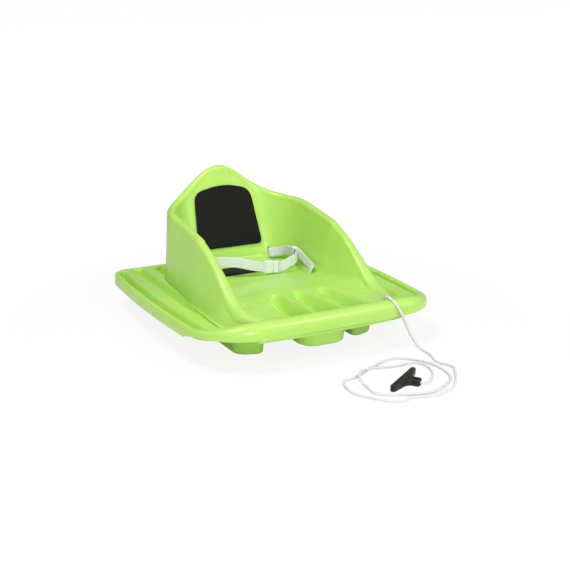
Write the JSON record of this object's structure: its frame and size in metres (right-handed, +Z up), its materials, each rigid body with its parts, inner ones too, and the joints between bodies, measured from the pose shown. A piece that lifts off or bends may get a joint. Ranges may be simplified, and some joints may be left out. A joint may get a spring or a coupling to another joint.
{
  "type": "baby pull sled",
  "caption": "Toddler pull sled with a bucket seat, ribbed flange, runners, padded back and seat, buckled lap belt and a pull rope with a T handle.",
  "frame": {"origin": "centre of the hull's bounding box in plan, at the bottom faces of the outer runners", "axes": "+Z up from the snow, +Y towards the backrest, so that the front lip and the rope lie towards -Y, and +X towards the side where the rope leaves the lip"},
  "size_m": [0.48, 0.7193, 0.271],
  "materials": {
    "hull_plastic": "satin",
    "pad_foam": "matte",
    "webbing": "woven",
    "buckle_plastic": "gloss",
    "handle_plastic": "satin",
    "rope": "braided"
  },
  "bodies": {
    "sled": {"hull_shell": "hull_plastic", "back_pad": "pad_foam", "seat_pad": "pad_foam", "belt_strap_left": "webbing", "belt_strap_right": "webbing", "belt_strap_back": "webbing", "strap_anchor_left": "buckle_plastic", "strap_anchor_right": "buckle_plastic", "strap_slider": "buckle_plastic", "buckle_socket": "buckle_plastic", "pull_rope": "rope", "rope_stop_knot": "rope", "pull_handle": "handle_plastic", "handle_knot": "rope"},
    "plug": {"buckle_plug": "buckle_plastic"}
  },
  "joints": [
    {"name": "buckle_release", "type": "slide", "parent": "sled", "child": "plug", "axis": [0.9932, -0.052, -0.1045], "range_m": [0, 0.016], "deforming": ["belt_strap_right"]}
  ]
}
